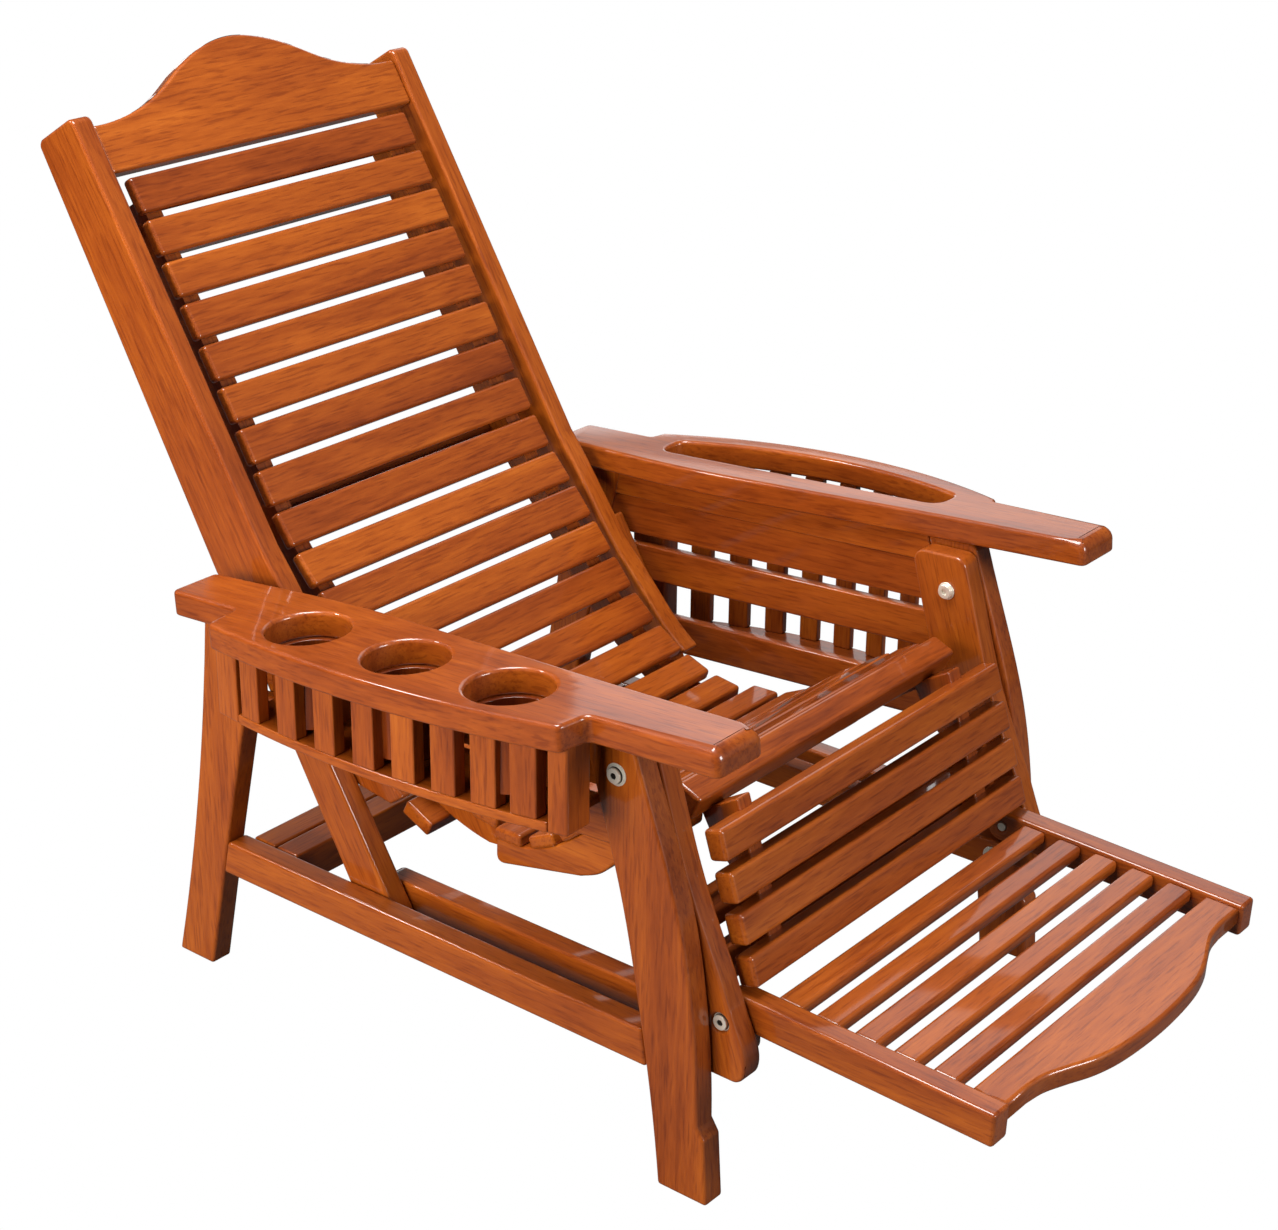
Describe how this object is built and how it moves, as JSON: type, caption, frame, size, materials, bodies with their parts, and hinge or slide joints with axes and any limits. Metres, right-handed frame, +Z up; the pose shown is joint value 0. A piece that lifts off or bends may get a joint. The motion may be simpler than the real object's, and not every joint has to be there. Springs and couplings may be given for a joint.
{
  "type": "reclining wooden lounger",
  "caption": "Slatted wooden reclining lounger with a leg rest, fold-out footrest, arched crest, cup holes in one armrest and a slotted armrest over a magazine rack.",
  "frame": {"origin": "on the floor under the middle of the whole chair, back reclined and footrest out as in the picture", "axes": "+Z up, the sitter faces -Y, +X towards the sitter's left, the side of the magazine rack"},
  "size_m": [0.8158, 1.2836, 0.9756],
  "materials": {
    "hardwood": "glossy lacquered reddish-brown hardwood",
    "bolt_metal": "pale nickel-plated bolts and pins"
  },
  "bodies": {
    "base": {"front_leg_cup_side": "hardwood", "front_leg_rack_side": "hardwood", "rear_leg_cup_side": "hardwood", "rear_leg_rack_side": "hardwood", "lower_rail_cup_side": "hardwood", "lower_rail_rack_side": "hardwood", "cross_rail_front": "hardwood", "cross_rail_rear": "hardwood", "apron_strips": "hardwood", "upper_side_boards": "hardwood", "middle_side_boards": "hardwood", "lower_side_board": "hardwood", "armrest_cups": "hardwood", "armrest_slot": "hardwood", "cup_front": "hardwood", "cup_middle": "hardwood", "cup_rear": "hardwood", "cup_rack_slats": "hardwood", "cup_rack_posts": "hardwood", "cup_rack_floor": "hardwood", "magazine_rack_slats": "hardwood", "magazine_rack_posts": "hardwood", "magazine_rack_floor": "hardwood", "arm_pivot_bolts": "bolt_metal", "back_pivot_bolts": "bolt_metal"},
    "back": {"back_stile_cup_side": "hardwood", "back_stile_rack_side": "hardwood", "crest_rail": "hardwood", "back_slats": "hardwood", "valley_slats": "hardwood", "back_bearers": "hardwood", "back_battens": "hardwood", "back_levers": "hardwood", "seat_hinge_pins": "bolt_metal", "rod_rear_pins": "bolt_metal"},
    "push_rods": {"push_rods": "hardwood"},
    "leg_rest": {"leg_rest_arm_cup_side": "hardwood", "leg_rest_arm_rack_side": "hardwood", "calf_slats": "hardwood", "calf_bearers": "hardwood", "calf_cross_rails": "hardwood", "footrest_bolts": "bolt_metal", "rod_front_pins": "bolt_metal"},
    "footrest": {"footrest_rails": "hardwood", "footrest_slats": "hardwood", "footrest_end_board": "hardwood"},
    "seat": {"seat_rails": "hardwood", "seat_slats": "hardwood"}
  },
  "joints": [
    {"name": "back_recline", "type": "hinge", "parent": "base", "child": "back", "pos_m": [0, 0.25151, 0.344], "axis": [-1, 0, 0], "range_deg": [-8, 10]},
    {"name": "leg_rest_swing", "type": "hinge", "parent": "base", "child": "leg_rest", "pos_m": [0, -0.21049, 0.44], "axis": [-1, 0, 0], "range_deg": [-6, 7.5]},
    {"name": "push_rod_pivot", "type": "hinge", "parent": "back", "child": "push_rods", "pos_m": [0, 0.14351, 0.156], "axis": [-1, 0, 0], "range_deg": [-12, 10]},
    {"name": "seat_hinge", "type": "hinge", "parent": "back", "child": "seat", "pos_m": [0, 0.01051, 0.24], "axis": [-1, 0, 0], "range_deg": [-17, 14]},
    {"name": "footrest_tilt", "type": "hinge", "parent": "leg_rest", "child": "footrest", "pos_m": [0, -0.31599, 0.1945], "axis": [-1, 0, 0], "range_deg": [-18, 15]}
  ],
  "couplings": [
    {"joint": "leg_rest_swing", "follows": "back_recline", "ratio": 0.662},
    {"joint": "push_rod_pivot", "follows": "back_recline", "ratio": -1.098},
    {"joint": "seat_hinge", "follows": "back_recline", "ratio": -1.602}
  ]
}
